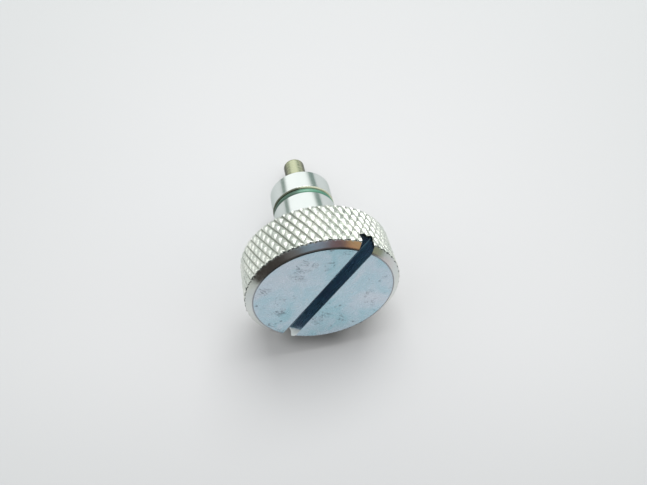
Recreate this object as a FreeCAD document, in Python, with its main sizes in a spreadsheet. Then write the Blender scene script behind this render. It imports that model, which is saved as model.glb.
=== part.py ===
import FreeCAD, Part
import os
import Sketcher

# Captive thumb screw with a diamond-knurled, coin-slotted knob.
# Units are millimetres. The origin is on the axis, in the plane of the knob's underside, where the ferrule's
# full diameter starts. +Z runs up the axis to the slotted face, the stud points down -Z, and +X runs along the coin slot.
#
# The ferrule stays in the panel. The knob and the stud in it turn freely, and press down against the spring
# until the ferrule's rim meets the thrust washer. The spring lifts them back until the retaining ring on the
# stud meets the web inside the ferrule, which is the position modelled here.

doc = FreeCAD.newDocument("captive_thumb_screw")
sheet = doc.addObject("Spreadsheet::Sheet", "Dims")

# alias, value in mm, what it is
CELLS = [
    ("knob_rad", 12.65, "knob radius over the knurl's crests"),
    ("knob_high", 8.0, "knob thickness"),
    ("face_rad", 11.44, "radius of the slotted face inside its chamfer"),
    ("face_drop", 0.83, "height of the face chamfer"),
    ("back_break", 0.25, "edge break on the knob's underside"),
    ("well_rad", 5.95, "counterbore in the underside, which the ferrule enters"),
    ("well_deep", 4.1, "depth of the counterbore"),
    ("boss_rad", 3.0, "boss inside the counterbore that holds the stud"),
    ("boss_break", 0.2, "edge break on the boss"),
    ("seat_deep", 4.6, "depth of the blind hole for the stud"),
    ("slot_wide", 2.4, "coin slot width"),
    ("slot_deep", 2.5, "coin slot depth"),
    ("shank_rad", 2.25, "stud shank radius"),
    ("stud_gap", 0.05, "end gap above the stud in its hole"),
    ("shank_break", 0.2, "edge break on the stud's pressed end"),
    ("thread_rad", 2.5, "stud thread, over its crests (M5)"),
    ("thread_root", 2.0, "stud thread root radius, and the pilot nose"),
    ("thread_top", 16.15, "start of the full thread, below the origin"),
    ("thread_bottom", 19.5, "end of the full thread, below the origin"),
    ("tip_low", 24.4, "tip of the pilot nose, below the origin"),
    ("tip_rad", 1.6, "flat end of the pilot nose"),
    ("tip_high", 0.45, "height of the nose's end bevel"),
    ("clip_top", 10.32, "upper wall of the retaining ring's groove, below the origin"),
    ("clip_wide", 0.62, "width of the retaining ring's groove"),
    ("clip_root", 1.9, "floor radius of the retaining ring's groove"),
    ("clip_thick", 0.6, "retaining ring thickness"),
    ("clip_rad", 3.5, "retaining ring outer radius"),
    ("clip_hole", 1.92, "retaining ring inner radius"),
    ("clip_mouth", 2.7, "width of the retaining ring's mouth"),
    ("clip_relief", 0.6, "radius of the ring's relief cut-outs"),
    ("ferrule_rad", 5.65, "ferrule radius"),
    ("ferrule_top", 0.3, "ferrule rim above the origin"),
    ("ferrule_low", 16.1, "ferrule end face, below the origin"),
    ("ferrule_break", 0.13, "edge break on the ferrule's end"),
    ("spring_bore", 4.45, "spring chamber radius"),
    ("web_top", 8.3, "upper face of the ferrule's web, below the origin"),
    ("web_low", 10.3, "lower face of the ferrule's web, below the origin"),
    ("web_bore", 2.3, "running bore in the web"),
    ("clip_bore", 3.7, "lower chamber radius, which the retaining ring runs in"),
    ("groove_top", 10.5, "upper wall of the outside groove, below the origin"),
    ("groove_low", 11.9, "lower wall of the outside groove, below the origin"),
    ("groove_rad", 4.5, "floor radius of the outside groove"),
    ("ring_wire", 0.55, "section radius of the round ring in the outside groove"),
    ("washer_in", 3.15, "thrust washer inner radius"),
    ("washer_out", 5.75, "thrust washer outer radius"),
    ("washer_thick", 0.6, "thrust washer thickness"),
    ("play", 0.02, "gap between faces that bear on each other"),
    ("wire_rad", 0.35, "spring wire radius"),
    ("coil_rad", 3.72, "spring mean coil radius"),
    ("coil_turns", 7, "spring turns"),
]


class Q:
    """A size from the sheet, or a sum of sizes: its number, and the formula that a feature is bound to."""

    def __init__(self, value, formula):
        self.value = value
        self.formula = formula

    def __add__(self, other):
        other = as_q(other)
        return Q(self.value + other.value, "(%s + %s)" % (self.formula, other.formula))

    def __sub__(self, other):
        other = as_q(other)
        return Q(self.value - other.value, "(%s - %s)" % (self.formula, other.formula))

    def __mul__(self, other):
        other = as_q(other)
        return Q(self.value * other.value, "(%s * %s)" % (self.formula, other.formula))

    def __truediv__(self, other):
        other = as_q(other)
        return Q(self.value / other.value, "(%s / %s)" % (self.formula, other.formula))

    def __neg__(self):
        return Q(-self.value, "(0 - %s)" % self.formula)


def as_q(x):
    return x if isinstance(x, Q) else Q(float(x), repr(float(x)))


D = {}
for row, (alias, value, meaning) in enumerate(CELLS, start=1):
    sheet.set("A%d" % row, meaning)
    sheet.set("B%d" % row, str(value))
    sheet.setAlias("B%d" % row, alias)
    D[alias] = Q(float(value), "Dims.%s" % alias)
doc.recompute()


def new_body(label):
    body = doc.addObject("PartDesign::Body", label)
    body.Label = label
    body.Placement = FreeCAD.Placement()
    return body


def plane_of(body, role):
    return [f for f in body.Origin.OriginFeatures if f.Role == role][0]


def new_sketch(body, name, role):
    sketch = body.newObject("Sketcher::SketchObject", name)
    sketch.AttachmentSupport = [(plane_of(body, role), "")]
    sketch.MapMode = "FlatFace"
    return sketch


def pin_point(sketch, geo, pos, across, up):
    """Fixes a point at its distances from the sketch's origin, each bound to a formula."""
    for kind, q in (("DistanceX", as_q(across)), ("DistanceY", as_q(up))):
        if abs(q.value) < 1e-9:
            # a point on an axis of the sketch
            sketch.addConstraint(
                Sketcher.Constraint(
                    "PointOnObject", geo, pos, -2 if kind == "DistanceX" else -1
                )
            )
            continue
        if q.value > 0:
            n = sketch.addConstraint(
                Sketcher.Constraint(kind, -1, 1, geo, pos, q.value)
            )
            sketch.setExpression("Constraints[%d]" % n, q.formula)
        else:
            n = sketch.addConstraint(
                Sketcher.Constraint(kind, geo, pos, -1, 1, -q.value)
            )
            sketch.setExpression("Constraints[%d]" % n, (-q).formula)


def polygon(sketch, points):
    """A closed outline whose corners are all bound to the sheet."""
    n = len(points)
    corners = [
        FreeCAD.Vector(as_q(a).value, as_q(b).value, 0) for a, b in points
    ]
    for i in range(n):
        sketch.addGeometry(Part.LineSegment(corners[i], corners[(i + 1) % n]), False)
    for i in range(n):
        sketch.addConstraint(Sketcher.Constraint("Coincident", i, 2, (i + 1) % n, 1))
    for i, (a, b) in enumerate(points):
        pin_point(sketch, i, 1, a, b)


def circle(sketch, across, up, rad):
    g = sketch.addGeometry(
        Part.Circle(
            FreeCAD.Vector(as_q(across).value, as_q(up).value, 0),
            FreeCAD.Vector(0, 0, 1),
            as_q(rad).value,
        ),
        False,
    )
    if abs(as_q(across).value) < 1e-9 and abs(as_q(up).value) < 1e-9:
        sketch.addConstraint(Sketcher.Constraint("Coincident", g, 3, -1, 1))
    else:
        pin_point(sketch, g, 3, across, up)
    n = sketch.addConstraint(Sketcher.Constraint("Radius", g, as_q(rad).value))
    sketch.setExpression("Constraints[%d]" % n, as_q(rad).formula)


def revolve(body, name, outline=None, round_section=None):
    """A turned piece: an outline of (radius, height) corners, or a round section, spun once about Z."""
    sketch = new_sketch(body, name + "_profile", "XZ_Plane")
    if outline:
        polygon(sketch, outline)
    if round_section:
        circle(sketch, *round_section)
    doc.recompute()
    turn = body.newObject("PartDesign::Revolution", name)
    turn.Profile = sketch
    turn.ReferenceAxis = (sketch, ["V_Axis"])
    turn.Angle = 360.0
    sketch.Visibility = False
    doc.recompute()
    body.Tip = turn
    return turn


def pocket_both_ways(body, name, sketch, length):
    """A cut that runs the same distance each side of the sketch's plane. It must take material away."""
    before = body.Shape.Volume
    cut = body.newObject("PartDesign::Pocket", name)
    cut.Profile = sketch
    cut.Type = "Length"
    cut.setExpression("Length", length.formula)
    if "SideType" in cut.PropertiesList:
        cut.SideType = "Symmetric"
    else:
        cut.Midplane = True
    sketch.Visibility = False
    doc.recompute()
    body.Tip = cut
    if not body.Shape.Volume < before - 0.01:
        raise RuntimeError("%s cut nothing" % name)
    return cut


# Knob: a turned disc with a chamfered face, a counterbore around a boss in its underside, and a sawn coin slot.
knob = new_body("knob")
revolve(
    knob,
    "knob_turned",
    [
        (0, D["knob_high"]),
        (D["face_rad"], D["knob_high"]),
        (D["knob_rad"], D["knob_high"] - D["face_drop"]),
        (D["knob_rad"], D["back_break"]),
        (D["knob_rad"] - D["back_break"], 0),
        (D["well_rad"], 0),
        (D["well_rad"], D["well_deep"]),
        (D["boss_rad"], D["well_deep"]),
        (D["boss_rad"], D["boss_break"]),
        (D["boss_rad"] - D["boss_break"], 0),
        (D["shank_rad"], 0),
        (D["shank_rad"], D["seat_deep"]),
        (0, D["seat_deep"]),
    ],
)
slot_sketch = new_sketch(knob, "coin_slot_outline", "YZ_Plane")
half = D["slot_wide"] / 2
polygon(
    slot_sketch,
    [
        (-half, D["knob_high"] - D["slot_deep"]),
        (half, D["knob_high"] - D["slot_deep"]),
        (half, D["knob_high"] + 1),
        (-half, D["knob_high"] + 1),
    ],
)
doc.recompute()
pocket_both_ways(knob, "coin_slot", slot_sketch, D["knob_rad"] * 2 + 2)

# Stud: pressed into the knob, with a plain shank, a groove for the retaining ring, a short M5 thread and a pilot nose.
stud = new_body("stud")
top = D["seat_deep"] - D["stud_gap"]
revolve(
    stud,
    "stud_turned",
    [
        (0, top),
        (D["shank_rad"] - D["shank_break"], top),
        (D["shank_rad"], top - D["shank_break"]),
        (D["shank_rad"], -D["clip_top"]),
        (D["clip_root"], -D["clip_top"]),
        (D["clip_root"], -(D["clip_top"] + D["clip_wide"])),
        (D["shank_rad"], -(D["clip_top"] + D["clip_wide"])),
        (D["shank_rad"], -(D["thread_top"] - (D["thread_rad"] - D["shank_rad"]))),
        (D["thread_rad"], -D["thread_top"]),
        (D["thread_rad"], -D["thread_bottom"]),
        (
            D["thread_root"],
            -(D["thread_bottom"] + (D["thread_rad"] - D["thread_root"])),
        ),
        (D["thread_root"], -(D["tip_low"] - D["tip_high"])),
        (D["tip_rad"], -D["tip_low"]),
        (0, -D["tip_low"]),
    ],
)

# Ferrule: the fixed collar. It has a spring chamber, a web that guides the stud, a lower chamber for the
# retaining ring, and a groove outside.
ferrule = new_body("ferrule")
revolve(
    ferrule,
    "ferrule_turned",
    [
        (D["spring_bore"], D["ferrule_top"]),
        (D["ferrule_rad"] - D["ferrule_top"], D["ferrule_top"]),
        (D["ferrule_rad"], 0),
        (D["ferrule_rad"], -D["groove_top"]),
        (D["groove_rad"], -D["groove_top"]),
        (D["groove_rad"], -D["groove_low"]),
        (D["ferrule_rad"], -D["groove_low"]),
        (D["ferrule_rad"], -(D["ferrule_low"] - D["ferrule_break"])),
        (D["ferrule_rad"] - D["ferrule_break"], -D["ferrule_low"]),
        (D["clip_bore"], -D["ferrule_low"]),
        (D["clip_bore"], -D["web_low"]),
        (D["web_bore"], -D["web_low"]),
        (D["web_bore"], -D["web_top"]),
        (D["spring_bore"], -D["web_top"]),
    ],
)

# Retaining ring: an E-shaped clip on the stud, with a mouth and two relief cut-outs that leave three lugs.
clip = new_body("retaining_ring")
clip_sketch = new_sketch(clip, "clip_outline", "XZ_Plane")
polygon(
    clip_sketch,
    [
        (D["clip_hole"], -(D["clip_top"] + D["clip_wide"] / 2 - D["clip_thick"] / 2)),
        (D["clip_rad"], -(D["clip_top"] + D["clip_wide"] / 2 - D["clip_thick"] / 2)),
        (D["clip_rad"], -(D["clip_top"] + D["clip_wide"] / 2 + D["clip_thick"] / 2)),
        (D["clip_hole"], -(D["clip_top"] + D["clip_wide"] / 2 + D["clip_thick"] / 2)),
    ],
)
doc.recompute()
clip_turn = clip.newObject("PartDesign::Revolution", "clip_disc")
clip_turn.Profile = clip_sketch
clip_turn.ReferenceAxis = (clip_sketch, ["V_Axis"])
clip_turn.Angle = 360.0
clip_sketch.Visibility = False
doc.recompute()
clip.Tip = clip_turn
mouth = new_sketch(clip, "clip_mouth_outline", "XY_Plane")
half_mouth = D["clip_mouth"] / 2
polygon(
    mouth,
    [
        (0, -half_mouth),
        (D["clip_rad"] + 1, -half_mouth),
        (D["clip_rad"] + 1, half_mouth),
        (0, half_mouth),
    ],
)
doc.recompute()
pocket_both_ways(clip, "clip_mouth_cut", mouth, D["clip_top"] * 2 + 4)
relief = new_sketch(clip, "clip_relief_outline", "XY_Plane")
reach = (D["clip_hole"] + D["clip_relief"] / 2) * 0.70710678
circle(relief, -reach, reach, D["clip_relief"])
circle(relief, -reach, -reach, D["clip_relief"])
doc.recompute()
pocket_both_ways(clip, "clip_relief_cut", relief, D["clip_top"] * 2 + 4)

# Seal ring: a round rubber ring in the ferrule's outside groove, just below the ferrule's surface.
seal = new_body("seal_ring")
revolve(
    seal,
    "seal_ring_turned",
    round_section=(
        D["groove_rad"] + D["ring_wire"],
        -((D["groove_top"] + D["groove_low"]) / 2),
        D["ring_wire"],
    ),
)

# Thrust washer: a plain ring on the counterbore's floor, which the spring and the ferrule's rim bear on.
washer = new_body("thrust_washer")
w_top = D["well_deep"] - D["play"]
w_low = w_top - D["washer_thick"]
revolve(
    washer,
    "thrust_washer_turned",
    [
        (D["washer_in"], w_low),
        (D["washer_out"], w_low),
        (D["washer_out"], w_top),
        (D["washer_in"], w_top),
    ],
)

# Spring: a coil of round wire between the thrust washer and the ferrule's web.
spring = new_body("spring")
wire = new_sketch(spring, "wire_section", "XZ_Plane")
low = -(D["web_top"] - D["play"]) + D["wire_rad"]
high = w_low - D["play"] - D["wire_rad"]
circle(wire, D["coil_rad"], low, D["wire_rad"])
doc.recompute()
coil = spring.newObject("PartDesign::AdditiveHelix", "spring_coil")
coil.Profile = wire
coil.ReferenceAxis = (wire, ["V_Axis"])
coil.Mode = "height-turns-angle"
coil.setExpression("Height", (high - low).formula)
coil.setExpression("Turns", D["coil_turns"].formula)
coil.Angle = 0
coil.LeftHanded = False
coil.Reversed = False
wire.Visibility = False
doc.recompute()
spring.Tip = coil

doc.recompute()

BODIES = [knob, stud, ferrule, clip, seal, washer, spring]

# Nothing is written unless every feature was built and every piece is one closed, valid solid.
for obj in doc.Objects:
    if "Invalid" in obj.State or "Error" in obj.State:
        raise RuntimeError("%s is %s" % (obj.Name, obj.State))
for body in BODIES:
    shape = body.Shape
    if shape.isNull() or not shape.isValid() or len(shape.Solids) != 1:
        raise RuntimeError("%s has no single valid solid" % body.Label)

os.makedirs("parts", exist_ok=True)
for body in BODIES:
    shape = body.Shape
    box = shape.BoundBox
    print(
        "%-15s %9.3f mm3  x %.2f..%.2f  y %.2f..%.2f  z %.2f..%.2f"
        % (
            body.Label,
            shape.Volume,
            box.XMin,
            box.XMax,
            box.YMin,
            box.YMax,
            box.ZMin,
            box.ZMax,
        )
    )
    shape.exportStep("parts/%s.step" % body.Label)
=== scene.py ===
import math

import bmesh
import bpy
import numpy as np
from mathutils import Matrix, Vector


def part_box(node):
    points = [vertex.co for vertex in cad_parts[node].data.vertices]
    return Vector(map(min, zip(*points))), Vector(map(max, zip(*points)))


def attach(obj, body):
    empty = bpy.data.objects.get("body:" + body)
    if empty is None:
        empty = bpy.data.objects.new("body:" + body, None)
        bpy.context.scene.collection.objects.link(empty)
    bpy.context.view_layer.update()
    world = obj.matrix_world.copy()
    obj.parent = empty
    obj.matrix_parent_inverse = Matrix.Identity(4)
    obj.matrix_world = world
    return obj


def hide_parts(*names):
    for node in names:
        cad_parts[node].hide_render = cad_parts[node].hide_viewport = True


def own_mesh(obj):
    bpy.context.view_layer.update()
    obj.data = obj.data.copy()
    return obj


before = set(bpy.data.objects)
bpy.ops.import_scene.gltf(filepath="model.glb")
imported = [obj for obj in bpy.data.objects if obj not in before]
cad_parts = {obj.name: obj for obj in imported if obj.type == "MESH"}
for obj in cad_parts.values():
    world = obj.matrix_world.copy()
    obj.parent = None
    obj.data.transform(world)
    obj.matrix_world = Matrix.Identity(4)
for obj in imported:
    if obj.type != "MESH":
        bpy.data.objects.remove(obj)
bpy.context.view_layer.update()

MM = 0.001
TAU = 2 * math.pi
scene = bpy.context.scene
scene.view_settings.view_transform = "Standard"
scene.view_settings.look = "None"

# ---------------------------------------------------------------- sizes, from the frame
knob_lo, knob_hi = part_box("knob")
stud_lo, stud_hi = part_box("stud")
fer_lo, fer_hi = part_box("ferrule")
ring_lo, ring_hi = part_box("seal_ring")
spr_lo, spr_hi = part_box("spring")
R = knob_hi.x / MM  # knob radius over the crests, mm
TOP = knob_hi.z / MM  # slotted face
FR = fer_hi.x / MM  # ferrule radius
FTOP, FLOW = fer_hi.z / MM, fer_lo.z / MM
STOP, SLOW = stud_hi.z / MM, stud_lo.z / MM


# ---------------------------------------------------------------- camera, at the reference view
cam_data = bpy.data.cameras.new("camera")
cam = bpy.data.objects.new("camera", cam_data)
scene.collection.objects.link(cam)
cam_at = Vector((0.0520790, 0.0445417, 0.0556439))
right = Vector((0.5314059, -0.8258918, 0.1884426)).normalized()
up = Vector((0.6334328, 0.2396997, -0.7357356))
up = (up - right * up.dot(right)).normalized()
back = right.cross(up)
cam.matrix_world = Matrix(
    (
        (right.x, up.x, back.x, cam_at.x),
        (right.y, up.y, back.y, cam_at.y),
        (right.z, up.z, back.z, cam_at.z),
        (0, 0, 0, 1),
    )
)
cam_data.sensor_fit = "HORIZONTAL"
cam_data.sensor_width = 36.0
cam_data.lens = 522.0 / 647.0 * 36.0
cam_data.clip_start = 0.005
cam_data.clip_end = 5.0
scene.camera = cam

# The screw lies on its side: the knob's rear edge and the ferrule's end touch the floor.
# FLOOR_UP is the floor's normal in the row frame, and FLOOR_AT the floor point under the knob's edge.
az = math.radians(37.40656)
r1, z1, r2, z2 = R, 0.25, FR, FLOW + 0.13
run = math.hypot(r1 - r2, z1 - z2)
nr, nz = (z1 - z2) / run, (r1 - r2) / run
FLOOR_UP = Vector((nr * math.cos(az), nr * math.sin(az), nz)).normalized()
FLOOR_AT = Vector((-r1 * math.cos(az), -r1 * math.sin(az), z1)) * MM
SIDE = (right - FLOOR_UP * right.dot(FLOOR_UP)).normalized()  # to the picture's right
FRONT = SIDE.cross(FLOOR_UP).normalized()  # along the floor, to the picture's bottom
if FRONT.dot(up) > 0:
    FRONT = -FRONT


def aim(azimuth, elevation):
    """A direction over the floor: azimuth 0 to the picture's bottom and 90 to its right."""
    a, e = math.radians(azimuth), math.radians(elevation)
    return (
        FRONT * (math.cos(a) * math.cos(e))
        + SIDE * (math.sin(a) * math.cos(e))
        + FLOOR_UP * math.sin(e)
    ).normalized()


# ---------------------------------------------------------------- node helpers
class Nodes:
    """Short calls for building a shader graph."""

    def __init__(self, tree):
        self.t = tree
        self.x = 0

    def new(self, kind, **kw):
        n = self.t.nodes.new(kind)
        self.x += 40
        n.location = (self.x, -self.x % 700)
        for k, v in kw.items():
            setattr(n, k, v)
        return n

    def plug(self, socket, value):
        if isinstance(value, bpy.types.NodeSocket):
            self.t.links.new(value, socket)
        elif value is not None:
            socket.default_value = value

    def math(self, op, a, b=None, clamp=False):
        n = self.new("ShaderNodeMath", operation=op, use_clamp=clamp)
        self.plug(n.inputs[0], a)
        if b is not None:
            self.plug(n.inputs[1], b)
        return n.outputs[0]

    def vmath(self, op, a, b=None):
        n = self.new("ShaderNodeVectorMath", operation=op)
        self.plug(n.inputs[0], a)
        if b is not None:
            if op == "SCALE":
                self.plug(n.inputs["Scale"], b)
            else:
                self.plug(n.inputs[1], b)
        return n.outputs["Value"] if op in ("DOT_PRODUCT", "LENGTH") else n.outputs[0]

    def ramp(self, x, lo, hi, a=0.0, b=1.0, smooth=True):
        """x from lo..hi mapped to a..b, held outside."""
        n = self.new(
            "ShaderNodeMapRange",
            interpolation_type="SMOOTHSTEP" if smooth else "LINEAR",
        )
        n.clamp = True
        self.plug(n.inputs["Value"], x)
        n.inputs["From Min"].default_value = lo
        n.inputs["From Max"].default_value = hi
        n.inputs["To Min"].default_value = a
        n.inputs["To Max"].default_value = b
        return n.outputs["Result"]

    def mix(self, f, a, b):
        n = self.new("ShaderNodeMix", data_type="RGBA")
        self.plug(n.inputs[0], f)
        self.plug(n.inputs[6], a if isinstance(a, bpy.types.NodeSocket) else rgba(a))
        self.plug(n.inputs[7], b if isinstance(b, bpy.types.NodeSocket) else rgba(b))
        return n.outputs[2]

    def noise(self, vec, scale, detail=3.0, rough=0.5, dist=0.0):
        n = self.new("ShaderNodeTexNoise")
        self.plug(n.inputs["Vector"], vec)
        n.inputs["Scale"].default_value = scale
        n.inputs["Detail"].default_value = detail
        n.inputs["Roughness"].default_value = rough
        n.inputs["Distortion"].default_value = dist
        return n.outputs[0]

    def cells(self, vec, scale, feature="F1"):
        n = self.new("ShaderNodeTexVoronoi", feature=feature)
        self.plug(n.inputs["Vector"], vec)
        n.inputs["Scale"].default_value = scale
        return n.outputs["Distance"]

    def scaled(self, vec, x, y, z):
        n = self.new("ShaderNodeVectorMath", operation="MULTIPLY")
        self.plug(n.inputs[0], vec)
        n.inputs[1].default_value = (x, y, z)
        return n.outputs[0]

    def bump(self, height, strength, distance, normal=None):
        n = self.new("ShaderNodeBump")
        self.plug(n.inputs["Height"], height)
        n.inputs["Strength"].default_value = strength
        n.inputs["Distance"].default_value = distance
        if normal is not None:
            self.plug(n.inputs["Normal"], normal)
        return n.outputs[0]


def rgba(c):
    return (c[0], c[1], c[2], 1.0)


def new_material(name):
    m = bpy.data.materials.new(name)
    m.use_nodes = True
    m.node_tree.nodes.clear()
    n = Nodes(m.node_tree)
    out = n.new("ShaderNodeOutputMaterial")
    bsdf = n.new("ShaderNodeBsdfPrincipled")
    m.node_tree.links.new(bsdf.outputs[0], out.inputs[0])
    where = n.new("ShaderNodeTexCoord").outputs["Object"]
    return m, n, bsdf, where


def polar(n, where):
    """Radius, height and a vector that runs along with height only, in metres."""
    s = n.new("ShaderNodeSeparateXYZ")
    n.plug(s.inputs[0], where)
    flat = n.scaled(where, 1, 1, 0)
    return n.vmath("LENGTH", flat), s.outputs[2], s


# ---------------------------------------------------------------- world: soft white studio, darker towards the camera's side
def build_world():
    world = bpy.data.worlds.new("studio")
    scene.world = world
    world.use_nodes = True
    world.node_tree.nodes.clear()
    n = Nodes(world.node_tree)
    out = n.new("ShaderNodeOutputWorld")
    bg = n.new("ShaderNodeBackground")
    d = n.new("ShaderNodeTexCoord").outputs["Generated"]
    el = n.vmath("DOT_PRODUCT", d, tuple(FLOOR_UP))  # sine of the elevation
    front = n.vmath("DOT_PRODUCT", d, tuple(FRONT))

    dome = n.mix(n.ramp(el, 0.0, 0.9), (1.20, 1.225, 1.215), (1.16, 1.17, 1.18))

    def patch(base, azimuth, elevation, wide, high, colour, soft=0.5):
        """A soft-edged oval of colour in the sky, sizes in degrees from its middle to its edge."""
        c = aim(azimuth, elevation)
        a = aim(azimuth + 90, 0)
        b = c.cross(a).normalized()
        x = n.math(
            "DIVIDE", n.vmath("DOT_PRODUCT", d, tuple(a)), math.sin(math.radians(wide))
        )
        y = n.math(
            "DIVIDE", n.vmath("DOT_PRODUCT", d, tuple(b)), math.sin(math.radians(high))
        )
        rr = n.math("ADD", n.math("MULTIPLY", x, x), n.math("MULTIPLY", y, y))
        inside = n.ramp(rr, 1.0 + soft, max(0.0, 1.0 - soft))
        ahead = n.ramp(n.vmath("DOT_PRODUCT", d, tuple(c)), 0.0, 0.1)
        return n.mix(n.math("MULTIPLY", inside, ahead), base, colour)

    sky = dome
    # the front half of the room is dimmer
    sky = n.mix(n.ramp(front, 0.05, 0.55, 0.0, 0.8), sky, (0.34, 0.35, 0.34))
    # the far edge of the room, a darker line low behind the floor
    low = n.math("ABSOLUTE", n.math("SUBTRACT", el, 0.01))
    sky = n.mix(n.ramp(low, 0.14, 0.05), sky, (0.27, 0.33, 0.30))
    wide = n.ramp(n.math("ABSOLUTE", n.math("SUBTRACT", el, 0.0)), 0.24, 0.06)
    to_right = n.ramp(n.vmath("DOT_PRODUCT", d, tuple(aim(152, 0))), 0.80, 0.97)
    sky = n.mix(n.math("MULTIPLY", wide, to_right), sky, (0.25, 0.33, 0.30))
    # the side where the camera stands
    sky = patch(sky, 4, 20, 68, 42, (0.055, 0.048, 0.045), 0.35)
    sky = patch(sky, 10, 47, 42, 13, (0.16, 0.15, 0.155), 0.5)
    sky = patch(sky, 44, 42, 12, 9, (0.20, 0.13, 0.135), 0.6)
    sky = patch(sky, 58, 25, 12, 14, (0.56, 0.33, 0.17), 0.6)
    sky = patch(sky, 12, 49, 17, 8, (0.30, 0.41, 0.50), 0.6)
    sky = patch(sky, 66, 4, 10, 10, (0.31, 0.33, 0.23), 0.6)
    # nothing bright under the floor's edge
    sky = n.mix(n.ramp(el, -0.02, -0.12), sky, (0.55, 0.58, 0.57))

    path = n.new("ShaderNodeLightPath")
    seen = n.mix(path.outputs["Is Camera Ray"], sky, (0.80, 0.81, 0.81))
    n.plug(bg.inputs["Color"], seen)
    bg.inputs["Strength"].default_value = 1.0
    world.node_tree.links.new(bg.outputs[0], out.inputs[0])


build_world()


# ---------------------------------------------------------------- floor
def build_floor():
    seg, rad = 96, 0.17
    bm = bmesh.new()
    rings = []
    for r in (0.02, 0.06, 0.11, rad):
        rings.append(
            [
                bm.verts.new(
                    FLOOR_AT
                    + FRONT * (r * math.cos(TAU * i / seg))
                    + SIDE * (r * math.sin(TAU * i / seg))
                )
                for i in range(seg)
            ]
        )
    centre = bm.verts.new(FLOOR_AT)
    for i in range(seg):
        j = (i + 1) % seg
        bm.faces.new((centre, rings[0][i], rings[0][j]))
        for a, b in zip(rings, rings[1:]):
            bm.faces.new((a[i], b[i], b[j], a[j]))
    bm.normal_update()
    for f in bm.faces:
        if f.normal.dot(FLOOR_UP) < 0:
            f.normal_flip()
    me = bpy.data.meshes.new("floor")
    bm.to_mesh(me)
    bm.free()
    o = bpy.data.objects.new("floor", me)
    scene.collection.objects.link(o)
    m, n, bsdf, where = new_material("floor_paper")
    tone = n.noise(where, 14.0, 2.0)
    colour = n.mix(tone, (0.525, 0.530, 0.536), (0.536, 0.541, 0.547))
    away = n.vmath("LENGTH", n.vmath("SUBTRACT", where, tuple(FLOOR_AT)))
    ahead = n.vmath("DOT_PRODUCT", n.vmath("SUBTRACT", where, tuple(FLOOR_AT)), tuple(FRONT))
    # painted shade: the paper is painted darker ahead of the knob, towards FRONT
    colour = n.mix(n.ramp(ahead, 0.004, 0.045), colour, (0.48, 0.487, 0.492))
    # painted contact shadow: the paper is painted darker close under the knob's edge
    beside = n.vmath("DOT_PRODUCT", n.vmath("SUBTRACT", where, tuple(FLOOR_AT)), tuple(SIDE))
    beside = n.math("ABSOLUTE", n.math("ADD", beside, 1.2 * MM))
    painted_contact_shadow = n.math("MULTIPLY", n.ramp(ahead, 9.0 * MM, 6.0 * MM), n.ramp(beside, 7.5 * MM, 2.5 * MM))
    painted_contact_shadow = n.math("MULTIPLY", painted_contact_shadow, n.ramp(ahead, 0.5 * MM, 4.5 * MM))
    colour = n.mix(n.math("MULTIPLY", painted_contact_shadow, 0.46), colour, (0.0, 0.0, 0.0))
    # painted shade: the paper is painted darker further from the knob, as the light falls off
    colour = n.mix(n.ramp(away, 0.02, 0.12, 0.0, 0.7), colour, (0.44, 0.456, 0.456))
    n.plug(bsdf.inputs["Base Color"], colour)
    bsdf.inputs["Roughness"].default_value = 0.85
    bsdf.inputs["Specular IOR Level"].default_value = 0.2
    geo = n.new("ShaderNodeNewGeometry")
    clear = n.new("ShaderNodeBsdfTransparent")
    mixer = n.new("ShaderNodeMixShader")
    n.plug(mixer.inputs[0], geo.outputs["Backfacing"])
    n.plug(mixer.inputs[1], bsdf.outputs[0])
    n.plug(mixer.inputs[2], clear.outputs[0])
    out = [x for x in m.node_tree.nodes if x.type == "OUTPUT_MATERIAL"][0]
    m.node_tree.links.new(mixer.outputs[0], out.inputs[0])
    me.materials.append(m)


build_floor()

# a large soft light over the back of the floor
light = bpy.data.lights.new("softbox", "AREA")
light.shape = "RECTANGLE"
light.size, light.size_y = 0.42, 0.32
light.energy = 3.3
light.color = (1.0, 1.0, 0.99)
lamp = bpy.data.objects.new("softbox", light)
scene.collection.objects.link(lamp)
lamp.location = aim(172, 56) * 0.6
lamp.rotation_mode = "QUATERNION"
lamp.rotation_quaternion = (-aim(172, 56)).to_track_quat("-Z", "Y")


# ---------------------------------------------------------------- mesh helpers
def finish_mesh(name, bm, materials, sharp=32.0):
    bmesh.ops.recalc_face_normals(bm, faces=bm.faces)
    limit = math.radians(sharp)
    for e in bm.edges:
        e.smooth = not (len(e.link_faces) == 2 and e.calc_face_angle(0) > limit)
    for f in bm.faces:
        f.smooth = True
    me = bpy.data.meshes.new(name)
    bm.to_mesh(me)
    bm.free()
    for m in materials:
        me.materials.append(m)
    o = bpy.data.objects.new(name, me)
    scene.collection.objects.link(o)
    return o


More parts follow.
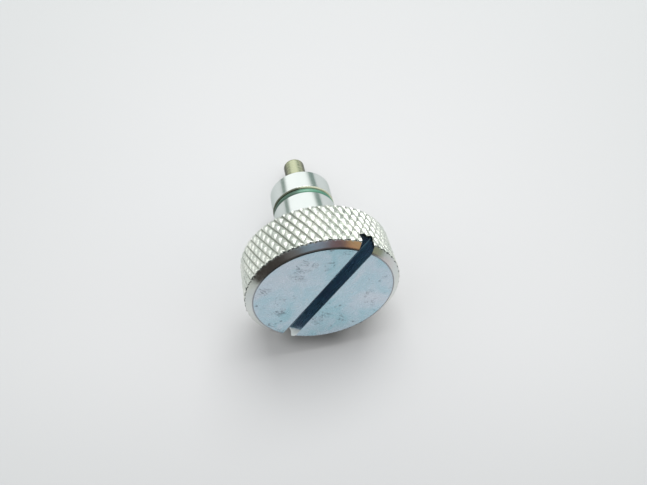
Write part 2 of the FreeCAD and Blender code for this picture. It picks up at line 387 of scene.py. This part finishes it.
def rounded(points, seg=4):
    """A profile of (r, z, corner radius) with its corners rounded and a support point each side of each."""
    out = []
    n = len(points)
    for i, (r, z, c) in enumerate(points):
        p = np.array([r, z])
        if c <= 0 or i in (0, n - 1):
            out.append((r, z))
            continue
        a = np.array(points[i - 1][:2]) - p
        b = np.array(points[i + 1][:2]) - p
        la, lb = np.linalg.norm(a), np.linalg.norm(b)
        a, b = a / la, b / lb
        half = math.acos(max(-1, min(1, float(a @ b)))) / 2
        t = min(c / math.tan(half), 0.4 * la, 0.4 * lb)
        cc = t * math.tan(half)
        mid = (a + b) / np.linalg.norm(a + b)
        centre = p + mid * (cc / math.sin(half))
        s, e = p + a * t, p + b * t
        sup = min(0.5 * t, 0.06)
        out.append(tuple(s + a * sup))
        vs, ve = s - centre, e - centre
        total = math.acos(
            max(-1, min(1, float(vs @ ve) / np.linalg.norm(vs) / np.linalg.norm(ve)))
        )
        sign = 1 if vs[0] * ve[1] - vs[1] * ve[0] > 0 else -1
        for k in range(seg + 1):
            w = sign * total * k / seg
            q = centre + np.array(
                [
                    vs[0] * math.cos(w) - vs[1] * math.sin(w),
                    vs[0] * math.sin(w) + vs[1] * math.cos(w),
                ]
            )
            out.append(tuple(q))
        out.append(tuple(e + b * sup))
    return out


def lathe(bm, profile, seg, slots=None, closed=False, caps=(False, False)):
    """Turns a profile of (r, z) in mm about Z. slots gives each band its material index. closed joins the last ring to the first."""
    rings = []
    for r, z in profile:
        if r < 1e-6:
            rings.append([bm.verts.new((0, 0, z * MM))])
        else:
            rings.append(
                [
                    bm.verts.new(
                        (
                            r * MM * math.cos(TAU * i / seg),
                            r * MM * math.sin(TAU * i / seg),
                            z * MM,
                        )
                    )
                    for i in range(seg)
                ]
            )
    pairs = list(zip(rings, rings[1:]))
    if closed:
        pairs.append((rings[-1], rings[0]))
    for k, (a, b) in enumerate(pairs):
        mat = slots[k] if slots else 0
        for i in range(seg):
            j = (i + 1) % seg
            if len(a) == 1 and len(b) == 1:
                continue
            if len(a) == 1:
                f = bm.faces.new((a[0], b[i], b[j]))
            elif len(b) == 1:
                f = bm.faces.new((a[i], b[0], a[j]))
            else:
                f = bm.faces.new((a[i], b[i], b[j], a[j]))
            f.material_index = mat
    return rings


# ---------------------------------------------------------------- materials
def mat_face():
    """Clear zinc plate on the slotted face: satin, blue-grey with faint violet and teal clouds, fine pits and short scuffs."""
    m, n, bsdf, where = new_material("knob_face")
    big = n.noise(where, 210.0, 4.0, 0.6, 0.5)
    cloud = n.noise(n.scaled(where, 1.0, 1.3, 1.0), 120.0, 3.0, 0.5, 0.8)
    small = n.noise(where, 1500.0, 3.0, 0.6)
    col = n.mix(n.ramp(big, 0.35, 0.68), (0.50, 0.675, 0.765), (0.59, 0.70, 0.79))
    col = n.mix(n.ramp(cloud, 0.50, 0.70), col, (0.635, 0.71, 0.79))
    col = n.mix(n.ramp(cloud, 0.48, 0.34), col, (0.42, 0.64, 0.725))
    col = n.mix(n.ramp(small, 0.58, 0.78), col, (0.68, 0.78, 0.83))
    pit_at = n.cells(where, 700.0)
    keep = n.ramp(n.noise(where, 260.0, 2.0), 0.55, 0.62)
    pits = n.math("MULTIPLY", n.ramp(pit_at, 0.24, 0.10), keep)
    scuff_at = n.noise(n.scaled(where, 1.0, 0.35, 1.0), 1500.0, 2.0, 0.4, 1.5)
    wear_and_painted_highlight = n.vmath("LENGTH", n.vmath("SUBTRACT", where, (5.2 * MM, 5.0 * MM, TOP * MM)))
    wear_and_painted_highlight = n.ramp(wear_and_painted_highlight, 5.0 * MM, 1.5 * MM, 0.0, 0.13)
    scuff_keep = n.ramp(n.math("ADD", n.noise(where, 330.0, 2.0, 0.5, 0.5), wear_and_painted_highlight), 0.57, 0.64)
    line = n.ramp(n.math("ABSOLUTE", n.math("SUBTRACT", scuff_at, 0.5)), 0.035, 0.012)
    scuff = n.math("MULTIPLY", line, scuff_keep)
    marks = n.math("MAXIMUM", n.math("MULTIPLY", pits, 0.75), n.math("MULTIPLY", scuff, 0.7))
    col = n.mix(marks, col, (0.17, 0.22, 0.26))
    n.plug(bsdf.inputs["Base Color"], col)
    bsdf.inputs["Metallic"].default_value = 1.0
    n.plug(bsdf.inputs["Roughness"], n.ramp(small, 0.3, 0.7, 0.24, 0.34))
    grain = n.noise(where, 5200.0, 4.0, 0.7)
    h = n.math("SUBTRACT", n.math("MULTIPLY", grain, 0.25), n.math("MULTIPLY", marks, 1.4))
    h = n.math("ADD", h, n.math("MULTIPLY", big, 0.8))
    n.plug(bsdf.inputs["Normal"], n.bump(h, 0.4, 0.00003))
    return m


def mat_chamfer():
    """Bright turned chamfer with the faint brown, violet and blue of a thin passivation film."""
    m, n, bsdf, where = new_material("knob_chamfer")
    r, z, _ = polar(n, where)
    tint = n.noise(where, 130.0, 2.0, 0.5, 0.6)
    col = n.mix(n.ramp(tint, 0.36, 0.5), (0.70, 0.66, 0.66), (0.66, 0.70, 0.69))
    col = n.mix(n.ramp(tint, 0.5, 0.66), col, (0.72, 0.74, 0.68))
    fine = n.noise(n.scaled(where, 0.4, 0.4, 1.0), 4200.0, 3.0, 0.6)
    n.plug(bsdf.inputs["Base Color"], col)
    bsdf.inputs["Metallic"].default_value = 1.0
    n.plug(bsdf.inputs["Roughness"], n.ramp(fine, 0.3, 0.7, 0.12, 0.2))
    n.plug(bsdf.inputs["Normal"], n.bump(fine, 0.15, 0.00002))
    return m


def mat_knurl():
    """Bright zinc on the rolled knurl: clean crests; the grooves are rougher and painted darker as shade."""
    m, n, bsdf, where = new_material("knob_knurl")
    r, z, _ = polar(n, where)
    deep = n.ramp(r, (R - 0.33) * MM, (R - 0.18) * MM)
    speck = n.noise(where, 2600.0, 3.0, 0.6)
    patchy = n.noise(where, 380.0, 3.0, 0.6)
    land = n.mix(n.ramp(patchy, 0.35, 0.65), (0.70, 0.74, 0.68), (0.84, 0.86, 0.79))
    # painted shade in the grooves: the base colour darkens where the radius drops into a groove
    col = n.mix(deep, (0.30, 0.33, 0.27), land)
    col = n.mix(n.ramp(speck, 0.6, 0.8), col, (0.90, 0.92, 0.88))
    nick = n.noise(where, 4600.0, 2.0, 0.5, 0.6)
    col = n.mix(n.ramp(nick, 0.60, 0.72, 0.0, 0.7), col, (0.40, 0.43, 0.37))
    # painted shade on an arc of the rim: the lands are painted a little greyer there and the grooves much darker
    painted_arc_shade = n.ramp(n.vmath("DOT_PRODUCT", where, (0.88, 0.47, 0.0)), 8.2 * MM, 11.6 * MM)
    col = n.mix(n.math("MULTIPLY", painted_arc_shade, 0.14), col, (0.0, 0.0, 0.0))
    painted_arc_groove_shade = n.math("MULTIPLY", painted_arc_shade, n.ramp(r, (R - 0.15) * MM, (R - 0.29) * MM))
    col = n.mix(n.math("MULTIPLY", painted_arc_groove_shade, 0.36), col, (0.02, 0.03, 0.015))
    n.plug(bsdf.inputs["Base Color"], col)
    bsdf.inputs["Metallic"].default_value = 1.0
    n.plug(bsdf.inputs["Roughness"], n.ramp(deep, 0.0, 1.0, 0.42, 0.27))
    rough = n.math("SUBTRACT", n.math("MULTIPLY", speck, 0.6), n.ramp(nick, 0.5, 0.72))
    n.plug(bsdf.inputs["Normal"], n.bump(rough, 0.55, 0.00005))
    return m


def mat_slot():
    """Sawn slot: blue zinc with fine saw lines, painted darker than the face as shade; a lighter line in its corner and
    bright burrs where it runs out are painted highlights, and its floor and its +X end are painted darker as shade.
    """
    m, n, bsdf, where = new_material("knob_slot")
    lines = n.noise(n.scaled(where, 0.04, 1.0, 1.0), 5200.0, 3.0, 0.6)
    big = n.noise(where, 420.0, 3.0)
    r, z, xyz = polar(n, where)
    # painted shade: the slot's zinc is painted darker than the face's
    col = n.mix(n.ramp(big, 0.3, 0.7), (0.33, 0.43, 0.56), (0.34, 0.56, 0.64))
    # painted shade on the slot's floor: darker towards the bottom of the slot
    low = n.ramp(z, (TOP - 2.30) * MM, (TOP - 2.49) * MM)
    col = n.mix(low, col, (0.16, 0.20, 0.26))
    # painted highlight: a lighter line along the corner of the slot's floor and wall
    corner = n.math(
        "MULTIPLY",
        n.ramp(n.math("ABSOLUTE", n.math("SUBTRACT", z, (TOP - 2.42) * MM)), 0.10 * MM, 0.02 * MM),
        n.ramp(xyz.outputs[0], -2 * MM, 7 * MM),
    )
    col = n.mix(n.math("MULTIPLY", corner, 0.8), col, (0.50, 0.64, 0.72))
    # painted highlight on the burr at the slot's -X end, with rougher metal there
    slant = n.math("MULTIPLY", n.math("SUBTRACT", z, (TOP - 2.5) * MM), 1.24)
    wear_and_painted_highlight = n.ramp(n.math("SUBTRACT", xyz.outputs[0], slant), -12.35 * MM, -12.75 * MM)
    col = n.mix(wear_and_painted_highlight, col, (0.90, 0.95, 0.95))
    # painted shade at the slot's +X end
    painted_end_shade = n.ramp(xyz.outputs[0], 11.5 * MM, 12.4 * MM)
    col = n.mix(painted_end_shade, col, (0.04, 0.05, 0.05))
    n.plug(bsdf.inputs["Base Color"], col)
    bsdf.inputs["Metallic"].default_value = 1.0
    rough = n.ramp(lines, 0.3, 0.7, 0.24, 0.38)
    n.plug(bsdf.inputs["Roughness"], n.math("ADD", rough, n.math("MULTIPLY", wear_and_painted_highlight, 0.25)))
    n.plug(bsdf.inputs["Normal"], n.bump(lines, 0.4, 0.00004))
    return m


def mat_edge():
    """The line at the rim of the face and where the knurl runs out at the chamfer: painted dark as shade; on one side
    of the face's rim it is painted greyer and softer, as lighter shading.
    """
    m, n, bsdf, where = new_material("knob_face_edge")
    big = n.noise(where, 700.0, 3.0)
    col = n.mix(n.ramp(big, 0.35, 0.65), (0.02, 0.025, 0.025), (0.08, 0.09, 0.08))
    high = n.vmath("DOT_PRODUCT", where, (0.743, 0.669, 0.0))
    r, z, _ = polar(n, where)
    inner = n.ramp(r, 11.6 * MM, 11.5 * MM)
    # painted lighter shading on one side of the face's rim
    soft = n.math("MULTIPLY", n.ramp(high, 8.6 * MM, 6.2 * MM), inner)
    col = n.mix(soft, col, (0.42, 0.44, 0.47))
    n.plug(bsdf.inputs["Base Color"], col)
    bsdf.inputs["Metallic"].default_value = 1.0
    bsdf.inputs["Roughness"].default_value = 0.45
    n.plug(bsdf.inputs["Normal"], n.bump(big, 0.2, 0.00003))
    return m


def mat_turned(name, a, b, rough_lo, rough_hi, line=0.12, scale=9000.0):
    """A turned and plated surface: fine rings around the axis, slight tone changes."""
    m, n, bsdf, where = new_material(name)
    rings = n.noise(n.scaled(where, 0.03, 0.03, 1.0), scale, 3.0, 0.65)
    flat = n.noise(n.scaled(where, 1.0, 1.0, 0.4), 240.0, 3.0, 0.5, 0.3)
    n.plug(bsdf.inputs["Base Color"], n.mix(n.ramp(flat, 0.3, 0.7), a, b))
    bsdf.inputs["Metallic"].default_value = 1.0
    n.plug(bsdf.inputs["Roughness"], n.ramp(rings, 0.3, 0.7, rough_lo, rough_hi))
    n.plug(bsdf.inputs["Normal"], n.bump(rings, line, 0.00002))
    return m


def mat_groove():
    """The floor and walls of the outside groove: duller plate with a yellow cast, which scatters light, painted darker
    as shade on its side towards -SIDE.
    """
    m, n, bsdf, where = new_material("ferrule_groove")
    big = n.noise(where, 300.0, 3.0)
    fine = n.noise(where, 4200.0, 3.0)
    col = n.mix(n.ramp(big, 0.3, 0.7), (0.60, 0.60, 0.44), (0.66, 0.66, 0.50))
    # painted shade on the groove's side towards -SIDE
    left = n.vmath("DOT_PRODUCT", where, tuple(-SIDE))
    painted_side_shade = n.ramp(n.math("ADD", left, n.math("MULTIPLY", big, 0.0012)), 2.6 * MM, 4.2 * MM)
    col = n.mix(n.math("MULTIPLY", painted_side_shade, 0.85), col, (0.07, 0.09, 0.06))
    n.plug(bsdf.inputs["Base Color"], col)
    bsdf.inputs["Metallic"].default_value = 0.35
    n.plug(bsdf.inputs["Roughness"], n.ramp(fine, 0.3, 0.7, 0.42, 0.6))
    n.plug(bsdf.inputs["Normal"], n.bump(fine, 0.2, 0.00002))
    return m


def mat_stud():
    """Yellow-olive passivated stud; its two flanks that face along side are painted darker and less metallic, as
    painted shade.
    """
    m, n, bsdf, where = new_material("stud_plate")
    rings = n.noise(n.scaled(where, 0.03, 0.03, 1.0), 6000.0, 3.0, 0.65)
    blotch = n.noise(n.scaled(where, 1.0, 1.0, 0.5), 420.0, 3.0, 0.5, 0.4)
    side = FLOOR_UP.cross(Vector((0, 0, 1))).normalized()
    r, z, _ = polar(n, where)
    turn = n.math(
        "DIVIDE",
        n.vmath("DOT_PRODUCT", where, tuple(side)),
        n.math("MAXIMUM", r, 0.0004),
    )
    # painted shade on the stud's flanks: this mask darkens the colour and lowers the metallic there
    film = n.ramp(n.math("ADD", n.math("ABSOLUTE", turn), n.math("MULTIPLY", blotch, 0.25)), 0.55, 1.05)
    col = n.mix(n.ramp(blotch, 0.3, 0.7), (0.50, 0.53, 0.35), (0.56, 0.58, 0.41))
    col = n.mix(n.math("MULTIPLY", film, 0.95), col, (0.06, 0.065, 0.05))
    n.plug(bsdf.inputs["Base Color"], col)
    n.plug(bsdf.inputs["Metallic"], n.ramp(film, 0.0, 1.0, 1.0, 0.35))
    bsdf.inputs["Specular IOR Level"].default_value = 0.25
    bsdf.inputs["Specular Tint"].default_value = (0.45, 0.46, 0.38, 1.0)
    n.plug(bsdf.inputs["Roughness"], n.ramp(rings, 0.3, 0.7, 0.2, 0.3))
    n.plug(bsdf.inputs["Normal"], n.bump(rings, 0.2, 0.00002))
    return m


def mat_rubber():
    """Green rubber ring with a slight bloom, painted darker as shade on its side towards -SIDE."""
    m, n, bsdf, where = new_material("ring_rubber")
    big = n.noise(where, 500.0, 4.0, 0.6)
    fine = n.noise(where, 5000.0, 3.0)
    col = n.mix(n.ramp(big, 0.3, 0.7), (0.042, 0.165, 0.108), (0.08, 0.23, 0.15))
    # painted shade on the ring's side towards -SIDE
    left = n.vmath("DOT_PRODUCT", where, tuple(-SIDE))
    painted_side_shade = n.ramp(n.math("ADD", left, n.math("MULTIPLY", big, 0.0012)), 2.9 * MM, 4.4 * MM)
    col = n.mix(n.math("MULTIPLY", painted_side_shade, 0.8), col, (0.030, 0.060, 0.040))
    n.plug(bsdf.inputs["Base Color"], col)
    n.plug(bsdf.inputs["Roughness"], n.ramp(fine, 0.3, 0.7, 0.32, 0.45))
    bsdf.inputs["Specular IOR Level"].default_value = 0.6
    n.plug(bsdf.inputs["Normal"], n.bump(fine, 0.2, 0.00002))
    return m


def mat_acetal():
    m, n, bsdf, where = new_material("washer_acetal")
    big = n.noise(where, 400.0, 3.0)
    fine = n.noise(where, 4000.0, 3.0)
    n.plug(bsdf.inputs["Base Color"], n.mix(big, (0.78, 0.77, 0.71), (0.86, 0.85, 0.80)))
    n.plug(bsdf.inputs["Roughness"], n.ramp(fine, 0.3, 0.7, 0.35, 0.5))
    bsdf.inputs["Subsurface Weight"].default_value = 0.1
    bsdf.inputs["Subsurface Scale"].default_value = 0.0005
    n.plug(bsdf.inputs["Normal"], n.bump(fine, 0.15, 0.00002))
    return m


M_FACE, M_CHAMFER, M_KNURL, M_SLOT, M_EDGE = (
    mat_face(),
    mat_chamfer(),
    mat_knurl(),
    mat_slot(),
    mat_edge(),
)
M_UNDER = mat_turned("knob_underside", (0.66, 0.72, 0.74), (0.74, 0.78, 0.78), 0.16, 0.3, 0.25, 5000.0)
M_FERRULE = mat_turned("ferrule_plate", (0.73, 0.775, 0.755), (0.775, 0.81, 0.79), 0.10, 0.17)
M_FERRULE.node_tree.nodes["Principled BSDF"].inputs["Specular Tint"].default_value = (0.72, 0.76, 0.74, 1.0)
M_GROOVE = mat_groove()
M_STUD = mat_stud()
M_WIRE = mat_turned("spring_wire", (0.50, 0.50, 0.51), (0.58, 0.58, 0.59), 0.25, 0.38, 0.2, 6000.0)
M_CLIP = mat_turned("clip_phosphate", (0.10, 0.10, 0.105), (0.16, 0.16, 0.165), 0.4, 0.55, 0.3, 3000.0)
M_RUBBER, M_ACETAL = mat_rubber(), mat_acetal()

# ---------------------------------------------------------------- knob: knurl, chamfer, face, slot, counterbore
TEETH = 57
HELIX = math.radians(30)
PITCH_Z = (TAU * 12.5 / TEETH) / math.tan(HELIX)  # a groove's lead over one tooth, along the axis
DEPTH = 0.31
FACE_R = 11.44
FACE_DROP = 0.83


def deep_set(theta, z):
    """Counts the grooves of the deeper set: whole numbers lie in the grooves."""
    return TEETH * theta / TAU + z / PITCH_Z + 0.43 + 0.02 * np.sin(5 * theta + 0.9 * z)


def knurl_radius(theta, z):
    """Radius of the rolled surface. Two sets of helical V grooves cross between crowned lands; one set is rolled deeper."""
    u = deep_set(theta, z)
    v = TEETH * theta / TAU - z / PITCH_Z
    v = v + 0.03 * np.sin(3 * theta + 0.7) + 0.02 * np.sin(7 * theta + 2.1)
    ha = np.abs(2 * (u - np.floor(u)) - 1)  # 0 in the groove, 1 on the land
    hb = np.abs(2 * (v - np.floor(v)) - 1)
    weak = 0.85 + 0.15 * np.sin(4 * theta + 1.3)  # the second wheel bites a little unevenly
    drop_a = DEPTH * (1 - ha) ** 1.9
    drop_b = 0.24 * weak * (1 - hb) ** 1.9
    drop = np.maximum(drop_a, drop_b) + 0.12 * np.minimum(drop_a, drop_b)
    drop = drop * (1 - 0.35 * np.clip((z - TOP + 1.5) / 0.8, 0, 1))  # shallower where the wheel runs off the end
    uneven = 0.010 * (1 + np.sin(5 * theta + 3 * z) * np.sin(11 * theta - 2 * z))
    return R - 0.006 - drop - uneven


def build_knob():
    bm = bmesh.new()
    per = 16
    seg = TEETH * per
    theta = np.arange(seg) * TAU / seg

    rings, mats, cuts = [], [], {}

    def ring(r, z, mat, step=1):
        """r and z are numbers or arrays over theta. mat is the material of the band that ends here. step thins the ring out."""
        r = np.broadcast_to(np.asarray(r, float), theta.shape)
        z = np.broadcast_to(np.asarray(z, float), theta.shape)
        rings.append(
            [
                bm.verts.new((rr * MM * c, rr * MM * s, zz * MM))
                for rr, zz, c, s in zip(r[::step], z[::step], np.cos(theta[::step]), np.sin(theta[::step]))
            ]
        )
        mats.append(mat)

    face, chamfer, knurl, edge, under = 0, 1, 2, 3, 5
    slope = (R - FACE_R) / FACE_DROP
    top = bm.verts.new((0, 0, TOP * MM))
    for r in (4.0, 8.0, 10.4, 11.14, 11.22):
        ring(r, TOP, face)
    ring(11.25, TOP - 0.006, face)
    # a tiny groove at the rim of the face, in the edge material: painted dark as shade
    ring(11.31, TOP - 0.055, edge)
    ring(11.41, TOP - 0.055, edge)
    ring(11.46, TOP - 0.03, edge)
    ring(11.50, TOP - 0.055, chamfer)
    for z in np.arange(TOP - 0.09, TOP - 0.40, -0.06):
        ring(FACE_R + (TOP - z) * slope, z, chamfer)
    # knurled band: the cone of each chamfer cuts across the crests
    rows = np.concatenate(
        [
            np.arange(TOP - 0.40, TOP - 1.25, -0.05),
            np.arange(TOP - 1.25, 0.42, -PITCH_Z / per),
            np.arange(0.40, 0.0, -0.05),
        ]
    )
    for z in rows:
        cone = FACE_R + (TOP - z) * slope
        rear = R - 0.25 + z
        kn = knurl_radius(theta, z)
        if z > TOP - 1.35:
            # each ridge is torn off at a slant where it meets the chamfer
            count = deep_set(theta, z)
            torn = (count - np.floor(count)) * (1 + 0.25 * np.sin(23 * theta) * np.sin(9 * theta + 1))
            cuts[len(rings)] = (kn - cone, np.clip((R - kn) / DEPTH, 0, 1), torn)
            kn = kn - 0.05 * np.clip((kn - cone + 0.07 + 0.48 * torn) / 0.1, 0, 1)
        r = np.minimum(np.minimum(kn, cone), rear)
        ring(r, z, knurl)
    # underside
    for r, z in rounded(
        [
            (R - 0.25, 0.02, 0),
            (R - 0.45, 0.0, 0.05),
            (8.9, 0.0, 0),
            (5.95, 0.0, 0.12),
            (5.95, 4.1, 0.12),
            (3.0, 4.1, 0.15),
            (3.0, 0.0, 0.2),
            (2.25, 0.0, 0.08),
            (2.25, 4.6, 0.1),
            (1.0, 4.6, 0),
        ]
    )[1:]:
        ring(r, z, under, 3)
    end = bm.verts.new((0, 0, 4.6 * MM))
    for i in range(seg):
        j = (i + 1) % seg
        f = bm.faces.new((top, rings[0][i], rings[0][j]))
        f.material_index = face
    for i in range(len(rings[-1])):
        j = (i + 1) % len(rings[-1])
        f = bm.faces.new((end, rings[-1][j], rings[-1][i]))
        f.material_index = under
    for k in range(len(rings) - 1):
        a, b, mat = rings[k], rings[k + 1], mats[k + 1]
        gap = cuts.get(k + 1)
        if len(a) > len(b):
            for i in range(len(b)):
                j = (i + 1) % len(b)
                c = [a[(3 * i + t) % len(a)] for t in range(4)]
                for corners in ((c[0], b[i], c[1]), (c[1], b[i], b[j], c[2]), (c[2], b[j], c[3])):
                    f = bm.faces.new(corners)
                    f.material_index = mat
            continue
        for i in range(len(a)):
            j = (i + 1) % len(a)
            f = bm.faces.new((a[i], b[i], b[j], a[j]))
            f.material_index = mat
            if gap is not None:
                # on the cone, in the painted dark line of shade where a groove runs out, or on the knurl
                g = 0.5 * (gap[0][i] + gap[0][j])
                deep = 0.5 * (gap[1][i] + gap[1][j])
                torn = 0.5 * (gap[2][i] + gap[2][j])
                f.material_index = chamfer if g > 0.02 else edge if g > -0.07 - max(0.34 * deep, 0.48 * torn) else knurl
    bmesh.ops.recalc_face_normals(bm, faces=bm.faces)
    me = bpy.data.meshes.new("knurled_knob")
    bm.to_mesh(me)
    bm.free()
    knob = bpy.data.objects.new("knurled_knob", me)
    scene.collection.objects.link(knob)
    all_mats = [M_FACE, M_CHAMFER, M_KNURL, M_EDGE, M_SLOT, M_UNDER]
    for m in all_mats:
        me.materials.append(m)

    # the sawn slot: a bar along X with eased lower corners and a tiny lead at the face
    half, floor_z = 1.2, TOP - 2.5
    outline = [
        (-half + 0.16, floor_z),
        (half - 0.16, floor_z),
        (half - 0.08, floor_z + 0.021),
        (half - 0.021, floor_z + 0.08),
        (half, floor_z + 0.16),
        (half, TOP - 0.05),
        (half + 0.07, TOP + 0.02),
        (half + 0.07, TOP + 1.0),
        (-half - 0.07, TOP + 1.0),
        (-half - 0.07, TOP + 0.02),
        (-half, TOP - 0.05),
        (-half, floor_z + 0.16),
        (-half + 0.021, floor_z + 0.08),
        (-half + 0.08, floor_z + 0.021),
    ]
    bm = bmesh.new()
    ends = [
        [bm.verts.new((x * MM, y * MM, z * MM)) for y, z in outline] for x in (-14, 14)
    ]
    n = len(outline)
    for i in range(n):
        j = (i + 1) % n
        bm.faces.new((ends[0][i], ends[0][j], ends[1][j], ends[1][i]))
    bm.faces.new(ends[0][::-1])
    bm.faces.new(ends[1])
    bmesh.ops.recalc_face_normals(bm, faces=bm.faces)
    for f in bm.faces:
        f.material_index = 4
    cm = bpy.data.meshes.new("slot_cutter")
    bm.to_mesh(cm)
    bm.free()
    for m in all_mats:
        cm.materials.append(m)
    cutter = bpy.data.objects.new("slot_cutter", cm)
    scene.collection.objects.link(cutter)
    mod = knob.modifiers.new("slot", "BOOLEAN")
    mod.operation = "DIFFERENCE"
    mod.solver = "EXACT"
    mod.object = cutter
    dg = bpy.context.evaluated_depsgraph_get()
    cut = bpy.data.meshes.new_from_object(knob.evaluated_get(dg))
    knob.modifiers.clear()
    knob.data = cut
    bpy.data.objects.remove(cutter)
    bm = bmesh.new()
    bm.from_mesh(cut)
    bmesh.ops.remove_doubles(bm, verts=bm.verts, dist=1e-7)
    bmesh.ops.dissolve_degenerate(bm, edges=bm.edges, dist=1e-7)
    limit = math.radians(34)
    for e in bm.edges:
        e.smooth = not (len(e.link_faces) == 2 and e.calc_face_angle(0) > limit)
    for f in bm.faces:
        f.smooth = True
    bm.to_mesh(cut)
    bm.free()
    return knob


knob = build_knob()
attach(knob, "knob")
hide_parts("knob")

# ---------------------------------------------------------------- ferrule
bm = bmesh.new()
profile = rounded(
    [
        (5.0, FTOP, 0),
        (FR - 0.30, FTOP, 0.05),
        (FR, FTOP - 0.30, 0.06),
        (FR, -10.5, 0.05),
        (4.5, -10.5, 0.05),
        (4.5, -11.9, 0.05),
        (FR - 0.18, -11.9, 0.03),
        (FR, -12.06, 0.03),
        (FR, FLOW + 0.13, 0.06),
        (FR - 0.13, FLOW, 0.06),
        (3.7, FLOW, 0.08),
        (3.7, -10.3, 0.1),
        (2.3, -10.3, 0.05),
        (2.3, -8.3, 0.05),
        (4.45, -8.3, 0.1),
        (4.45, FTOP, 0.06),
        (5.0, FTOP, 0),
    ]
)
profile = profile[:-1]
slots = []
for (ra, za), (rb, zb) in zip(profile, profile[1:] + profile[:1]):
    mid_r, mid_z = (ra + rb) / 2, (za + zb) / 2
    slots.append(1 if (mid_r < FR - 0.02 and -12.2 < mid_z < -10.45 and mid_r > 4.4) else 0)
lathe(bm, profile, 192, slots, closed=True)
ferrule = finish_mesh("turned_ferrule", bm, [M_FERRULE, M_GROOVE])
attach(ferrule, "ferrule")
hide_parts("ferrule")

# ---------------------------------------------------------------- seal ring
bm = bmesh.new()
ring_z = (ring_lo.z + ring_hi.z) / 2 / MM
ring_c = (ring_hi.z - ring_lo.z) / 2 / MM - 0.003
ring_r = 4.5 + 0.55
profile = [
    (
        ring_r + ring_c * math.cos(TAU * k / 28),
        ring_z + ring_c * math.sin(TAU * k / 28),
    )
    for k in range(28)
]
lathe(bm, profile, 160, closed=True)
seal = finish_mesh("green_ring", bm, [M_RUBBER], 60)
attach(seal, "ferrule")
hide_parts("seal_ring")


# ---------------------------------------------------------------- stud: shank, clip groove, M5 thread, pilot nose
def build_stud():
    bm = bmesh.new()
    seg = 96
    theta = np.arange(seg) * TAU / seg
    pitch = 0.8
    tr = stud_hi.x / MM - 0.004
    root = 2.02
    t_top, t_low = -15.9, -20.05

    def thread(z):
        ph = z / pitch - theta / TAU
        ph = ph - np.floor(ph)
        tri = np.abs(2 * ph - 1)  # 1 at the crest
        y = np.clip((tri - 0.22) / (0.88 - 0.22), 0, 1)
        y = y * 0.97 + 0.03 * (y * y * (3 - 2 * y))
        r = root + (tr - root) * y
        start = 2.25 + (t_top - z) * 1.0  # cone at the upper end
        lead = 2.0 + (z - t_low) * 1.0  # cone at the lower end
        return np.minimum(np.minimum(r, start), np.maximum(lead, 2.0))

    body = rounded(
        [
            (1.0, STOP, 0),
            (2.05, STOP, 0.05),
            (2.24, STOP - 0.2, 0.05),
            (2.24, -10.32, 0.03),
            (1.9, -10.32, 0.03),
            (1.9, -10.94, 0.03),
            (2.24, -10.94, 0.03),
            (2.24, -15.88, 0),
        ]
    )
    rows = [(np.full(seg, r), z) for r, z in body]
    for z in np.arange(-15.9, -20.10, -0.8 / 20):
        rows.append((thread(z), z))
    for r, z in rounded(
        [
            (2.0, -20.12, 0),
            (2.0, -21.5, 0),
            (2.0, SLOW, 0.78),
            (0.6, SLOW + 0.0, 0),
        ],
        10,
    ):
        rows.append((np.full(seg, r), z))
    rings = []
    for r, z in rows:
        rings.append(
            [
                bm.verts.new((a * MM * c, a * MM * s, z * MM))
                for a, c, s in zip(r, np.cos(theta), np.sin(theta))
            ]
        )
    top = bm.verts.new((0, 0, STOP * MM))
    end = bm.verts.new((0, 0, SLOW * MM))
    for i in range(seg):
        j = (i + 1) % seg
        bm.faces.new((top, rings[0][i], rings[0][j]))
        bm.faces.new((end, rings[-1][j], rings[-1][i]))
        for a, b in zip(rings, rings[1:]):
            bm.faces.new((a[i], b[i], b[j], a[j]))
    return finish_mesh("threaded_stud", bm, [M_STUD], 40)


stud = build_stud()
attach(stud, "knob")
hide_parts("stud")


# ---------------------------------------------------------------- spring with closed, ground ends
def build_spring():
    wire, mean = 0.35, 3.72
    lo, hi = spr_lo.z / MM, spr_hi.z / MM
    turns, per = 8.0, 56
    steps = int(turns * per)
    # pitch is one wire over the end turns, and opens out between them
    t = np.linspace(0, turns, steps + 1)
    open_share = np.clip((t - 0.9) / 0.5, 0, 1) * np.clip((turns - 0.9 - t) / 0.5, 0, 1)
    rise = 0.70 + 0.0 * t
    free = (hi - lo) - 0.70 * (turns - 1)
    extra = open_share / (open_share.sum() / per)
    dz = rise + extra * free
    z = np.concatenate([[0], np.cumsum((dz[1:] + dz[:-1]) / 2 / per)])
    z = z / z[-1] * ((hi - lo))
    z = lo + z
    bm = bmesh.new()
    ringn = 18
    loops = []
    for k in range(steps + 1):
        a = TAU * t[k]
        er = np.array([math.cos(a), math.sin(a), 0])
        slope = math.atan((dz[k]) / (TAU * mean))
        et = np.array([-math.sin(a) * math.cos(slope), math.cos(a) * math.cos(slope), math.sin(slope)])
        eb = np.cross(er, et)
        c = er * mean + np.array([0, 0, z[k]])
        loop = []
        for q in range(ringn):
            w = TAU * q / ringn
            p = c + wire * (math.cos(w) * er + math.sin(w) * eb)
            p[2] = min(max(p[2], lo), hi)
            loop.append(bm.verts.new(tuple(p * MM)))
        loops.append(loop)
    for a, b in zip(loops, loops[1:]):
        for q in range(ringn):
            w = (q + 1) % ringn
            bm.faces.new((a[q], b[q], b[w], a[w]))
    bm.faces.new(loops[0][::-1])
    bm.faces.new(loops[-1])
    return finish_mesh("coil_spring", bm, [M_WIRE], 50)


spring = build_spring()
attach(spring, "ferrule")
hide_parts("spring")
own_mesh(spring)

# ---------------------------------------------------------------- CAD nodes that stay
for node, mat in (("retaining_ring", M_CLIP), ("thrust_washer", M_ACETAL)):
    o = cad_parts[node]
    o.data.materials.clear()
    o.data.materials.append(mat)
